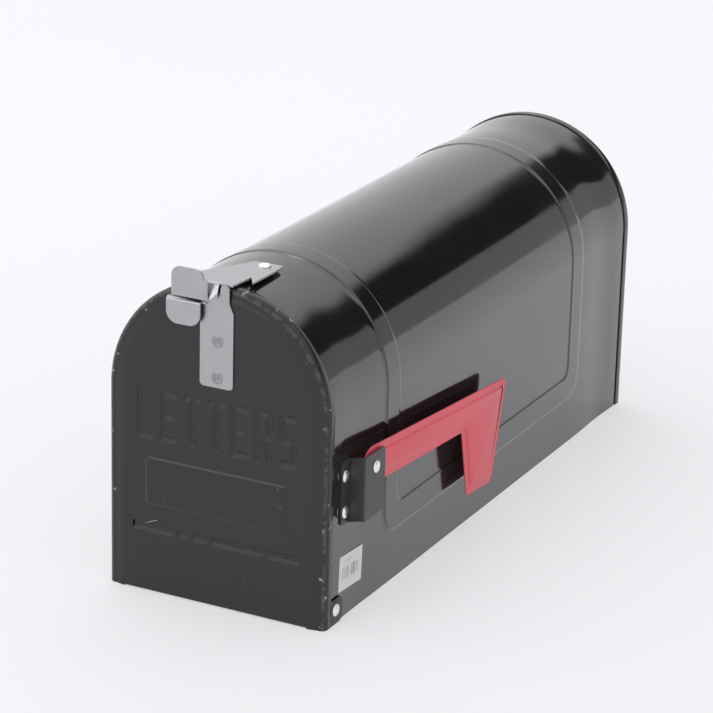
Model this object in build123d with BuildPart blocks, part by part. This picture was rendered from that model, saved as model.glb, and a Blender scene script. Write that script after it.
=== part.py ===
"""Post-top mailbox in painted sheet steel: arched body, drop-down door, side flag."""
import os

from build123d import *

os.makedirs("parts", exist_ok=True)

# Millimetres. The origin is the middle of the floor's underside, where the mounting
# board bears. +Z up, the door faces -Y, +X is the flag side.

# --- body ----------------------------------------------------------------------
BODY_WIDTH = 165.0
SIDE_HEIGHT = 145.0           # straight side, from the bottom edge to the arch
LENGTH = 507.0                # door face to back seam
SHEET = 0.9                   # body, floor and back
BOARD_RECESS = 19.0           # depth for the mounting board under the floor

ARCH_RADIUS = BODY_WIDTH / 2
FOOT_Z = -BOARD_RECESS        # bottom edge of the sides
ARCH_Z = FOOT_Z + SIDE_HEIGHT
BODY_TOP = ARCH_Z + ARCH_RADIUS
DOOR_FACE_Y = -LENGTH / 2
BACK_FACE_Y = LENGTH / 2

DOOR_SHEET = 0.8
DOOR_END_GAP = 2.4            # body edge to the inside of the door
BODY_FRONT_Y = DOOR_FACE_Y + DOOR_SHEET + DOOR_END_GAP
BODY_BACK_Y = BACK_FACE_Y - SHEET
BACK_SEAM = 8.8               # back panel rolled over the end of the body
BACK_BEND = 1.2

# Stiffening band pressed into the body sheet, a rounded rectangle on each side
# that carries on over the arch.
BAND_RAISE = 0.8
BAND_WIDTH = 20.0
BAND_FRONT_Y = DOOR_FACE_Y + 85.5
BAND_BACK_Y = BACK_FACE_Y - 90.5
BAND_LOW_Z = FOOT_Z + 36.5
BAND_CORNER = 24.0
BAND_INNER_CORNER = 8.0

# --- rivets --------------------------------------------------------------------
RIVET_HEAD = 8.8
RIVET_DOME = 2.0
RIVET_BRIM = 0.4
RIVET_SHANK = 4.8
SHOP_HEAD = 7.6
SHOP_HEAD_HEIGHT = 1.4
RUNNING_FIT = 0.05            # radial, a moving sheet on a rivet shank
HEAD_PLAY = 0.15              # under the head of a rivet that something turns on

# --- door ----------------------------------------------------------------------
LAP_CLEARANCE = 0.5           # door flange over the body
DOOR_RADIUS = ARCH_RADIUS + LAP_CLEARANCE + DOOR_SHEET
DOOR_INNER = DOOR_RADIUS - DOOR_SHEET
DOOR_FLANGE = 8.6             # how far the door laps back over the body
DOOR_BOTTOM_Z = FOOT_Z + 0.8
DOOR_BEND = 4.5
FIELD_INSET = 12.0            # middle of the door pressed outwards inside a lower rim
FIELD_RAISE = 1.2
FIELD_BEND = 0.8
FIELD_Y = DOOR_FACE_Y - FIELD_RAISE
DOOR_LIP = 6.0                # turned-in lip along the bottom edge
DOOR_LIP_HALF = 68.0
EAR_REACH = 25.2              # hinge ear, back from the door face
EAR_TOP_Z = FOOT_Z + 18.5
EAR_CORNER = 5.0
RIM_FOOT_CORNER = 0.5

HINGE_Y = DOOR_FACE_Y + 14.5
HINGE_Z = FOOT_Z + 10.8
CORNER_SWING = 11.4           # body's bottom front corner, rounded about the hinge

WORD = "LETTERS"
WORD_LOW_Z = FOOT_Z + 112.5
WORD_HEIGHT = 36.0
WORD_WIDTH = 121.0
LETTER_GAP = 5.0
STROKE = 3.8
RELIEF = 0.7                  # depth of the sunk word and dashes, height of the plate
RELIEF_WALL = 0.8
PLATE_WIDTH = 108.0           # raised plate for a house number
PLATE_HEIGHT = 34.5
PLATE_LOW_Z = FOOT_Z + 64.3
PLATE_CORNER = 2.5
DASH_Z = FOOT_Z + 47.5
DASH_HEIGHT = 5.0
DASHES = (34.0, 9.0, 12.0, 40.0, 27.0)
DASH_GAP = 2.4

# --- floor ---------------------------------------------------------------------
FLOOR_FLANGE = 11.0
FLOOR_LIP = 7.0
FLOOR_FRONT_Y = DOOR_FACE_Y + 3.5
FLANGE_FRONT_Y = HINGE_Y + 18.0
SCREW_HOLE = 6.5
SCREW_SPACING_X = 101.6
SCREW_SPACING_Y = 304.8

# --- catch on the door -----------------------------------------------------------
CATCH_SHEET = 1.2
STRAP_X = 0.6
STRAP_WIDTH = 25.0
STRAP_LOW_Z = BODY_TOP - 69.3
STRAP_SHOULDER_Z = BODY_TOP - 16.5
STRAP_CORNER = 3.0
STRAP_RIVET_X = 1.4
STRAP_RIVET_Z = (BODY_TOP - 62.3, BODY_TOP - 37.0)
STRAP_RIVET_HEAD = 8.8
STRAP_RIVET_RISE = 0.5
STRAP_RIVET_DISH = 3.2
FINGER_X = 6.6
FINGER_WIDTH = 6.6
FINGER_ROOT_Z = BODY_TOP - 7.0
FINGER_TOP_Z = BODY_TOP + 2.7
LEDGE_TOP_Z = BODY_TOP - 10.7
LEDGE_RIGHT_X = -6.5
PULL_LEFT_X = -35.5
PULL_RIGHT_X = -9.8
PULL_LOW_Z = BODY_TOP - 28.3
PULL_STANDOFF = 5.2           # door face to the back of the pull
PULL_CORNER = 8.5
PULL_BEND = 1.8

# --- latch on the body -------------------------------------------------------------
LATCH_SHEET = 1.2
LATCH_PAD_GAP = 0.5           # pad's underside above the crown of the arch
LATCH_RISE = 1.5
LATCH_REAR_Y = DOOR_FACE_Y + 56.0
LATCH_REAR_LEFT_X = -3.5
LATCH_REAR_RIGHT_X = 18.0
LATCH_NOTCH_Y = DOOR_FACE_Y + 17.5
LATCH_NOTCH = 7.5
LATCH_BARB_X = 20.0           # pointed corner of the pad beside the notch
LATCH_FRONT_RIGHT_X = 11.8
LATCH_FINGER_GAP = 1.2
LATCH_CORNER = 2.4
LATCH_LIP_Y = DOOR_FACE_Y - 1.2
LATCH_PAD_Z = BODY_TOP + LATCH_PAD_GAP
LATCH_FRONT_Z = LATCH_PAD_Z + LATCH_RISE
VALLEY_Z = BODY_TOP - 8.1
VALLEY_Y = DOOR_FACE_Y - 5.6
THUMB_Y = DOOR_FACE_Y - 8.6
THUMB_TOP_Z = BODY_TOP + 12.3
THUMB_LEFT_X = -30.2
THUMB_WIDTH = 24.3
THUMB_CORNER = 6.5
LATCH_RIVET_X = 7.6
LATCH_RIVET_Y = DOOR_FACE_Y + 49.0
LATCH_RIVET_DROP = 2.4        # shop head below the crown, clear of the curved sheet

# --- flag --------------------------------------------------------------------------
BRACKET_SHEET = 1.2
BRACKET_STANDOFF = 13.4       # body side to the outer face of the bracket
BRACKET_WEB_Y = DOOR_FACE_Y + 30.0
BRACKET_FOOT = 9.6
BRACKET_REACH = 29.0
BRACKET_BEND = 0.9            # outside radius; the inside corner is folded tight
BRACKET_CORNER = 3.0
BRACKET_LOW_Z = FOOT_Z + 68.6    # at the body
BRACKET_TOP_Z = FOOT_Z + 114.0
BRACKET_CLIMB = 2.4           # the web slants up to the plate by this much
BRACKET_RIVET_Z = (FOOT_Z + 77.7, FOOT_Z + 103.2)
FLAG_SHEET = 1.0
FLAG_DISH = 1.1               # middle of the flag pressed outwards from its border
FLAG_SIDE_GAP = 0.3
FLAG_BORDER = 5.2
FLAG_DROOP = 4.9              # degrees the lowered flag hangs below level
FLAG_HEEL = 14.0              # heel radius about the pivot
FLAG_PIVOT_Y = BRACKET_WEB_Y + BRACKET_SHEET + FLAG_SIDE_GAP + FLAG_HEEL
FLAG_PIVOT_Z = FOOT_Z + 105.7
FLAG_LENGTH = 211.0           # pivot to the tip
FLAG_ARM_UNDER = 11.3         # arm's lower edge below the pivot line, at the blade
BLADE_ROOT_U = 141.2          # along the arm, where the blade starts
BLADE_LOW = 62.2              # blade's lower edge below the pivot line
BLADE_LOW_FRONT_U = 157.6
BLADE_LOW_BACK_U = 199.0
BLADE_TIP_DROP = 11.5         # square end of the tip, below its top corner
FLAG_CORNER = 3.0

# --- price label -------------------------------------------------------------------
LABEL_LENGTH = 33.2
LABEL_HEIGHT = 25.3
LABEL_THICK = 0.12
LABEL_TILT = -2.9
LABEL_Y = DOOR_FACE_Y + 37.9
LABEL_Z = FOOT_Z + 31.7


def across(y):
    """Plane square to the length of the body: local Y is up, extrusions go to the door."""
    return Plane(origin=(0, y, 0), x_dir=(1, 0, 0), z_dir=(0, -1, 0))


def beside(x):
    """Plane along the body: local X runs to the back, local Y is up."""
    return Plane(origin=(x, 0, 0), x_dir=(0, 1, 0), z_dir=(1, 0, 0))


def arch(radius, low_z):
    """Arch-shaped face for an open sketch: straight sides under a semicircle."""
    with BuildSketch(mode=Mode.PRIVATE) as face:
        with BuildLine():
            Polyline((-radius, ARCH_Z), (-radius, low_z), (radius, low_z), (radius, ARCH_Z))
            ThreePointArc((radius, ARCH_Z), (0, ARCH_Z + radius), (-radius, ARCH_Z))
        make_face()
    return face.sketch_local


def band(inner_radius, outer_radius, inset):
    """The stiffening band between two radii, its edges drawn in by an inset."""
    low_z = BAND_LOW_Z + inset
    high_z = BODY_TOP + BAND_WIDTH
    front_y, back_y = BAND_FRONT_Y + inset, BAND_BACK_Y - inset
    hole = BAND_WIDTH - 2 * inset
    with BuildPart() as piece:
        with BuildSketch(across(back_y)):
            add(arch(outer_radius, low_z))
            add(arch(inner_radius, low_z), mode=Mode.SUBTRACT)
        extrude(amount=back_y - front_y)
        with BuildSketch(beside(0)):
            with BuildLine():
                Polyline((front_y, high_z), (front_y, low_z), (back_y, low_z),
                         (back_y, high_z), close=True)
            make_face()
            fillet(vertices().group_by(Axis.Y)[0], BAND_CORNER - inset)
        extrude(amount=2 * outer_radius, both=True, mode=Mode.INTERSECT)
        with BuildSketch(beside(0)):
            with BuildLine():
                Polyline((front_y + hole, high_z), (front_y + hole, low_z + hole),
                         (back_y - hole, low_z + hole), (back_y - hole, high_z), close=True)
            make_face()
            fillet(vertices().group_by(Axis.Y)[0], BAND_INNER_CORNER)
        extrude(amount=2 * outer_radius, both=True, mode=Mode.SUBTRACT)
    return piece.part


def rivet(grip, head=RIVET_HEAD, dome=RIVET_DOME):
    """Domed rivet on +Z; the work lies between Z 0 and the grip."""
    with BuildPart() as piece:
        with BuildSketch(Plane.XZ):
            with BuildLine():
                brim = Polyline((0, grip + dome), (0, -SHOP_HEAD_HEIGHT),
                                (SHOP_HEAD / 2, -SHOP_HEAD_HEIGHT), (SHOP_HEAD / 2, 0),
                                (RIVET_SHANK / 2, 0), (RIVET_SHANK / 2, grip),
                                (head / 2, grip), (head / 2, grip + RIVET_BRIM))
                rise, reach = dome - RIVET_BRIM, head / 2
                ball = (rise ** 2 + reach ** 2) / (2 * rise)
                RadiusArc(brim @ 1, brim @ 0, -ball)
            make_face()
        revolve(axis=Axis.Z)
    return piece.part


def outward(side, y, z, depth=0.0):
    """Location on a body side, local Z pointing outwards; side is 1 or -1."""
    return Plane(origin=(side * (ARCH_RADIUS - SHEET + depth), y, z),
                 x_dir=(0, side, 0), z_dir=(side, 0, 0)).location


# --- body shell --------------------------------------------------------------------
raised_band = band(ARCH_RADIUS - SHEET / 2, ARCH_RADIUS + BAND_RAISE, 0)
hollow_band = band(ARCH_RADIUS - 2 * SHEET, ARCH_RADIUS - SHEET + BAND_RAISE, SHEET)

with BuildPart() as body_shell:
    with BuildSketch(across(BODY_BACK_Y)):
        add(arch(ARCH_RADIUS, FOOT_Z))
        add(arch(ARCH_RADIUS - SHEET, FOOT_Z - SHEET), mode=Mode.SUBTRACT)
    extrude(amount=BODY_BACK_Y - BODY_FRONT_Y)
    add(raised_band)
    add(hollow_band, mode=Mode.SUBTRACT)
    # bottom front corners, rounded so the door can swing past
    with BuildSketch(beside(0)):
        with BuildLine():
            Polyline((HINGE_Y, HINGE_Z), (HINGE_Y - 2 * CORNER_SWING, HINGE_Z),
                     (HINGE_Y - 2 * CORNER_SWING, FOOT_Z - SHEET),
                     (HINGE_Y, FOOT_Z - SHEET), close=True)
        make_face()
        with Locations((HINGE_Y, HINGE_Z)):
            Circle(CORNER_SWING, mode=Mode.SUBTRACT)
    extrude(amount=BODY_WIDTH, both=True, mode=Mode.SUBTRACT)
    with BuildSketch(beside(0)):
        with Locations((HINGE_Y, HINGE_Z)):
            Circle(RIVET_SHANK / 2)
    extrude(amount=BODY_WIDTH, both=True, mode=Mode.SUBTRACT)
    with BuildSketch(beside(0)):
        with Locations(*((BRACKET_WEB_Y - BRACKET_FOOT / 2, z) for z in BRACKET_RIVET_Z)):
            Circle(RIVET_SHANK / 2)
    extrude(amount=BODY_WIDTH, mode=Mode.SUBTRACT)
    with BuildSketch(Plane.XY.offset(ARCH_Z)):
        with Locations((LATCH_RIVET_X, LATCH_RIVET_Y)):
            Circle(RIVET_SHANK / 2 + RUNNING_FIT)
    extrude(amount=BODY_WIDTH, mode=Mode.SUBTRACT)
body_shell.part.label = "body_shell"
export_step(body_shell.part, "parts/body_shell.step")

# --- floor -------------------------------------------------------------------------
floor_width = BODY_WIDTH - 2 * SHEET
with BuildPart() as floor_panel:
    with BuildSketch():
        with Locations((0, (FLOOR_FRONT_Y + BODY_BACK_Y) / 2)):
            Rectangle(floor_width, BODY_BACK_Y - FLOOR_FRONT_Y)
        with GridLocations(SCREW_SPACING_X, SCREW_SPACING_Y, 2, 2):
            Circle(SCREW_HOLE / 2, mode=Mode.SUBTRACT)
    extrude(amount=SHEET)
    with BuildSketch():
        with Locations((0, FLOOR_FRONT_Y + SHEET / 2)):
            Rectangle(floor_width - 2 * DOOR_BEND, SHEET)
    extrude(amount=-FLOOR_LIP)
    with BuildSketch():
        with Locations((0, (FLANGE_FRONT_Y + BODY_BACK_Y) / 2)):
            with GridLocations(floor_width - SHEET, 0, 2, 1):
                Rectangle(SHEET, BODY_BACK_Y - FLANGE_FRONT_Y)
    extrude(amount=-FLOOR_FLANGE)
floor_panel.part.label = "floor_panel"
export_step(floor_panel.part, "parts/floor_panel.step")

# --- back panel --------------------------------------------------------------------
with BuildPart() as back_panel:
    with BuildSketch(across(BACK_FACE_Y)):
        add(arch(ARCH_RADIUS + SHEET, FOOT_Z))
    extrude(amount=BACK_SEAM)
    with BuildSketch(across(BODY_BACK_Y)):
        add(arch(ARCH_RADIUS, FOOT_Z - SHEET))
    extrude(amount=BACK_SEAM, mode=Mode.SUBTRACT)
    outline = edges().filter_by_position(Axis.Y, BACK_FACE_Y - 0.01, BACK_FACE_Y + 0.01)
    fillet(outline.sort_by(Axis.Z)[1:], BACK_BEND)
back_panel.part.label = "back_panel"
export_step(back_panel.part, "parts/back_panel.step")

# --- door --------------------------------------------------------------------------
# letters on a grid 2 wide and 4 high: bars and posts given by their two ends
LETTERS = {
    "L": (((0, 0), (0, 4)), ((0, 0), (2, 0))),
    "E": (((0, 0), (0, 4)), ((0, 0), (2, 0)), ((0, 2), (1.7, 2)), ((0, 4), (2, 4))),
    "T": (((1, 0), (1, 4)), ((0, 4), (2, 4))),
    "R": (((0, 0), (0, 4)), ((0, 4), (2, 4)), ((2, 2), (2, 4)), ((0, 2), (2, 2)),
          ((0.7, 2), (2, 0))),
    "S": (((0, 0), (2, 0)), ((2, 0), (2, 2)), ((0, 2), (2, 2)), ((0, 2), (0, 4)),
          ((0, 4), (2, 4))),
}
letter_pitch = (WORD_WIDTH + LETTER_GAP) / len(WORD)
grid_x = (letter_pitch - LETTER_GAP - STROKE) / 2
grid_z = (WORD_HEIGHT - STROKE) / 4


def lettering(wall=0.0):
    """The word and the row of dashes under it, each stroke widened by a wall."""
    width = STROKE + 2 * wall
    with BuildSketch(mode=Mode.PRIVATE) as face:
        for place, letter in enumerate(WORD):
            left = (STROKE - WORD_WIDTH) / 2 + place * letter_pitch
            low = WORD_LOW_Z + STROKE / 2
            for ends in LETTERS[letter]:
                start, end = ((left + x * grid_x, low + z * grid_z) for x, z in ends)
                with BuildLine():
                    Line(start, end)
                trace(line_width=width)
                with Locations(start, end):
                    Circle(width / 2)
        dash_x = -(sum(DASHES) + DASH_GAP * (len(DASHES) - 1)) / 2
        for length in DASHES:
            with Locations((dash_x + length / 2, DASH_Z)):
                SlotOverall(length + 2 * wall, DASH_HEIGHT + 2 * wall)
            dash_x += length + DASH_GAP
    return face.sketch_local


field_radius = DOOR_RADIUS - FIELD_INSET

with BuildPart() as door_pocket:
    with BuildSketch(across(DOOR_FACE_Y + 2 * DOOR_FLANGE)):
        add(arch(DOOR_INNER, FOOT_Z - DOOR_FLANGE))
    extrude(amount=2 * DOOR_FLANGE - DOOR_SHEET)
    fillet(faces().sort_by(Axis.Y)[0].edges().sort_by(Axis.Z)[1:], DOOR_BEND - DOOR_SHEET)

with BuildPart() as door_panel:
    with BuildSketch(across(DOOR_FACE_Y + DOOR_FLANGE)):
        add(arch(DOOR_RADIUS, FOOT_Z))
    extrude(amount=DOOR_FLANGE)
    fillet(faces().sort_by(Axis.Y)[0].edges().sort_by(Axis.Z)[1:], DOOR_BEND)
    # middle pressed outwards, hollow behind
    with BuildSketch(across(DOOR_FACE_Y)):
        add(arch(field_radius, FOOT_Z))
    extrude(amount=FIELD_RAISE)
    fillet(faces().sort_by(Axis.Y)[0].edges().sort_by(Axis.Z)[1:], FIELD_BEND)
    add(door_pocket.part, mode=Mode.SUBTRACT)
    with BuildSketch(across(DOOR_FACE_Y + DOOR_SHEET)):
        add(arch(field_radius - DOOR_SHEET, FOOT_Z - SHEET))
    extrude(amount=FIELD_RAISE, mode=Mode.SUBTRACT)
    # the rim runs down into two feet, the middle stops a little higher
    with BuildSketch(across(DOOR_FACE_Y + DOOR_FLANGE)):
        with Locations((0, DOOR_BOTTOM_Z)):
            RectangleRounded(2 * field_radius, 2 * DOOR_FLANGE, RIM_FOOT_CORNER,
                             align=(Align.CENTER, Align.MAX))
    extrude(amount=2 * DOOR_FLANGE, mode=Mode.SUBTRACT)
    # lip along the bottom
    with BuildSketch(Plane.XY.offset(DOOR_BOTTOM_Z)):
        with Locations((0, FIELD_Y + (DOOR_SHEET + DOOR_LIP) / 2)):
            Rectangle(2 * DOOR_LIP_HALF, DOOR_LIP - DOOR_SHEET)
    extrude(amount=DOOR_SHEET)
    # hinge ears
    for side in (1, -1):
        with BuildSketch(beside(side * DOOR_INNER)):
            with Locations((DOOR_FACE_Y + DOOR_FLANGE - 1, FOOT_Z)):
                Rectangle(EAR_REACH - DOOR_FLANGE + 1, EAR_TOP_Z - FOOT_Z,
                          align=(Align.MIN, Align.MIN))
            fillet(vertices().group_by(Axis.Y)[-1], EAR_CORNER)
        extrude(amount=side * DOOR_SHEET)
    with BuildSketch(beside(0)):
        with Locations((HINGE_Y, HINGE_Z)):
            Circle(RIVET_SHANK / 2 + RUNNING_FIT)
    extrude(amount=2 * DOOR_RADIUS, both=True, mode=Mode.SUBTRACT)
    # word and dashes pressed inwards, standing out behind the sheet
    with BuildSketch(across(FIELD_Y + DOOR_SHEET + RELIEF)):
        add(lettering(RELIEF_WALL))
    extrude(amount=RELIEF + DOOR_SHEET / 2)
    with BuildSketch(across(FIELD_Y + RELIEF)):
        add(lettering())
    extrude(amount=RELIEF, mode=Mode.SUBTRACT)
    # plate for a house number pressed outwards
    with BuildSketch(across(FIELD_Y + DOOR_SHEET / 2)):
        with Locations((0, PLATE_LOW_Z + PLATE_HEIGHT / 2)):
            RectangleRounded(PLATE_WIDTH, PLATE_HEIGHT, PLATE_CORNER)
    extrude(amount=RELIEF + DOOR_SHEET / 2)
    with BuildSketch(across(FIELD_Y + DOOR_SHEET)):
        with Locations((0, PLATE_LOW_Z + PLATE_HEIGHT / 2)):
            RectangleRounded(PLATE_WIDTH - 2 * RELIEF_WALL, PLATE_HEIGHT - 2 * RELIEF_WALL,
                             PLATE_CORNER - RELIEF_WALL)
    extrude(amount=RELIEF, mode=Mode.SUBTRACT)
    with BuildSketch(across(FIELD_Y)):
        with Locations(*((STRAP_RIVET_X, z) for z in STRAP_RIVET_Z)):
            Circle(RIVET_SHANK / 2)
    extrude(amount=-DOOR_FLANGE, mode=Mode.SUBTRACT)
door_panel.part.label = "door_panel"
export_step(door_panel.part, "parts/door_panel.step")

hinge_grip = SHEET + LAP_CLEARANCE + DOOR_SHEET + HEAD_PLAY
hinge_pin = rivet(hinge_grip)
with BuildPart() as hinge_rivet_right:
    with Locations(outward(1, HINGE_Y, HINGE_Z)):
        add(hinge_pin)
hinge_rivet_right.part.label = "hinge_rivet_right"
export_step(hinge_rivet_right.part, "parts/hinge_rivet_right.step")

with BuildPart() as hinge_rivet_left:
    with Locations(outward(-1, HINGE_Y, HINGE_Z)):
        add(hinge_pin)
hinge_rivet_left.part.label = "hinge_rivet_left"
export_step(hinge_rivet_left.part, "parts/hinge_rivet_left.step")

# --- catch on the door ---------------------------------------------------------------
strap_left, strap_right = STRAP_X - STRAP_WIDTH / 2, STRAP_X + STRAP_WIDTH / 2
finger_left, finger_right = FINGER_X - FINGER_WIDTH / 2, FINGER_X + FINGER_WIDTH / 2

with BuildPart() as door_catch:
    # flat plate on the door, with shoulders and a rounded finger
    with BuildSketch(across(FIELD_Y)):
        with BuildLine():
            tip_z = FINGER_TOP_Z - FINGER_WIDTH / 2
            plate = Polyline((strap_left, LEDGE_TOP_Z), (strap_left, STRAP_LOW_Z),
                             (strap_right, STRAP_LOW_Z), (strap_right, STRAP_SHOULDER_Z))
            Spline(plate @ 1, (finger_right, FINGER_ROOT_Z),
                   tangents=((-0.35, 1), (0, 1)))
            Line((finger_right, FINGER_ROOT_Z), (finger_right, tip_z))
            ThreePointArc((finger_right, tip_z), (FINGER_X, FINGER_TOP_Z),
                          (finger_left, tip_z))
            Spline((finger_left, tip_z), (strap_left, LEDGE_TOP_Z),
                   tangents=((-0.1, -1), (-1, -0.25)))
        make_face()
        fillet(vertices().group_by(Axis.Y)[0], STRAP_CORNER)
    extrude(amount=CATCH_SHEET)
    # ledge that carries the turned-down pull
    with BuildSketch(beside(PULL_LEFT_X)):
        with BuildLine():
            pull_y = DOOR_FACE_Y - PULL_STANDOFF
            Polyline((FIELD_Y, LEDGE_TOP_Z), (pull_y - CATCH_SHEET, LEDGE_TOP_Z),
                     (pull_y - CATCH_SHEET, PULL_LOW_Z), (pull_y, PULL_LOW_Z),
                     (pull_y, LEDGE_TOP_Z - CATCH_SHEET),
                     (FIELD_Y, LEDGE_TOP_Z - CATCH_SHEET),
                     close=True)
        make_face()
    extrude(amount=LEDGE_RIGHT_X - PULL_LEFT_X)
    bend = edges().filter_by(Axis.X).filter_by_position(
        Axis.Z, LEDGE_TOP_Z - 0.01, LEDGE_TOP_Z + 0.01).sort_by(Axis.Y)[0]
    fillet(bend, PULL_BEND)
    # the pull is narrower than the ledge's root and has round corners
    with BuildSketch(across((FIELD_Y + DOOR_FACE_Y - PULL_STANDOFF) / 2 - CATCH_SHEET)):
        Rectangle(BODY_WIDTH, 2 * LENGTH)
        with Locations((PULL_LEFT_X, PULL_LOW_Z)):
            RectangleRounded(PULL_RIGHT_X - PULL_LEFT_X, LEDGE_TOP_Z - PULL_LOW_Z + PULL_CORNER,
                             PULL_CORNER, align=(Align.MIN, Align.MIN), mode=Mode.SUBTRACT)
    extrude(amount=PULL_STANDOFF, mode=Mode.SUBTRACT)
    with BuildSketch(across(FIELD_Y)):
        with Locations(*((STRAP_RIVET_X, z) for z in STRAP_RIVET_Z)):
            Circle(RIVET_SHANK / 2)
    extrude(amount=2 * CATCH_SHEET, mode=Mode.SUBTRACT)
door_catch.part.label = "door_catch"
export_step(door_catch.part, "parts/door_catch.step")

# spun rivets with a dished head
with BuildPart() as dished_rivet:
    with BuildSketch(Plane.XZ):
        with BuildLine():
            grip = DOOR_SHEET + CATCH_SHEET
            rim = STRAP_RIVET_HEAD / 2
            Polyline((0, grip - RIVET_BRIM), (0, -SHOP_HEAD_HEIGHT),
                     (SHOP_HEAD / 2, -SHOP_HEAD_HEIGHT), (SHOP_HEAD / 2, 0),
                     (RIVET_SHANK / 2, 0), (RIVET_SHANK / 2, grip), (rim, grip),
                     (STRAP_RIVET_DISH + RIVET_BRIM, grip + STRAP_RIVET_RISE),
                     (STRAP_RIVET_DISH, grip + STRAP_RIVET_RISE),
                     (RIVET_SHANK / 4, grip - RIVET_BRIM), close=True)
        make_face()
    revolve(axis=Axis.Z)

with BuildPart() as catch_rivets:
    with Locations(*(across(FIELD_Y + DOOR_SHEET).location
                     * Location((STRAP_RIVET_X, z, 0)) for z in STRAP_RIVET_Z)):
        add(dished_rivet.part)
catch_rivets.part.label = "catch_rivets"
export_step(catch_rivets.part, "parts/catch_rivets.step")

# --- latch on the body ---------------------------------------------------------------
with BuildPart() as latch_spring:
    # side view of the bent strip
    with BuildSketch(beside(THUMB_LEFT_X)):
        with BuildLine():
            strip = FilletPolyline((LATCH_REAR_Y, LATCH_PAD_Z),
                                   (LATCH_RIVET_Y - RIVET_HEAD, LATCH_PAD_Z),
                                   (LATCH_NOTCH_Y - LATCH_NOTCH, LATCH_FRONT_Z),
                                   (LATCH_LIP_Y, LATCH_FRONT_Z),
                                   (VALLEY_Y, VALLEY_Z), (THUMB_Y, VALLEY_Z),
                                   (THUMB_Y, THUMB_TOP_Z), radius=LATCH_SHEET / 2)
            offset(strip, amount=LATCH_SHEET, side=Side.RIGHT)
        make_face()
    extrude(amount=BODY_WIDTH)
    # seen from above: pad at the rear, notch, and a front edge cut round the finger
    with BuildSketch(Plane.XY.offset(VALLEY_Z - LATCH_SHEET)):
        with BuildLine():
            thumb_right = THUMB_LEFT_X + THUMB_WIDTH
            ahead_y = THUMB_Y - LATCH_SHEET
            Polyline((LATCH_REAR_LEFT_X, LATCH_REAR_Y), (LATCH_REAR_RIGHT_X, LATCH_REAR_Y),
                     (LATCH_BARB_X, LATCH_NOTCH_Y - LATCH_NOTCH),
                     (LATCH_FRONT_RIGHT_X + LATCH_SHEET, LATCH_NOTCH_Y + LATCH_NOTCH / 2),
                     (LATCH_FRONT_RIGHT_X, LATCH_LIP_Y),
                     (finger_left - LATCH_FINGER_GAP, LATCH_LIP_Y),
                     (finger_left - LATCH_FINGER_GAP, VALLEY_Y + LATCH_SHEET),
                     (thumb_right, THUMB_Y), (thumb_right, ahead_y),
                     (THUMB_LEFT_X, ahead_y), (THUMB_LEFT_X, LATCH_LIP_Y), close=True)
        make_face()
        fillet(vertices().group_by(Axis.Y)[-1], LATCH_CORNER)
    extrude(amount=THUMB_TOP_Z, mode=Mode.INTERSECT)
    # rounded top of the thumb tab
    with BuildSketch(across(THUMB_Y + 2 * LATCH_SHEET)):
        with Locations((THUMB_LEFT_X + THUMB_WIDTH / 2, THUMB_TOP_Z)):
            Rectangle(2 * THUMB_WIDTH, 2 * THUMB_CORNER)
            RectangleRounded(THUMB_WIDTH, THUMB_TOP_Z - VALLEY_Z, THUMB_CORNER,
                             align=(Align.CENTER, Align.MAX), mode=Mode.SUBTRACT)
    extrude(amount=4 * LATCH_SHEET, mode=Mode.SUBTRACT)
    with BuildSketch(Plane.XY.offset(LATCH_PAD_Z)):
        with Locations((LATCH_RIVET_X, LATCH_RIVET_Y)):
            Circle(RIVET_SHANK / 2)
    extrude(amount=LATCH_SHEET, mode=Mode.SUBTRACT)
latch_spring.part.label = "latch_spring"
export_step(latch_spring.part, "parts/latch_spring.step")

latch_rivet_z = BODY_TOP - LATCH_RIVET_DROP
latch_pin = rivet(LATCH_PAD_Z + LATCH_SHEET - latch_rivet_z)
with BuildPart() as latch_rivet:
    with Locations((LATCH_RIVET_X, LATCH_RIVET_Y, latch_rivet_z)):
        add(latch_pin)
latch_rivet.part.label = "latch_rivet"
export_step(latch_rivet.part, "parts/latch_rivet.step")

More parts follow.
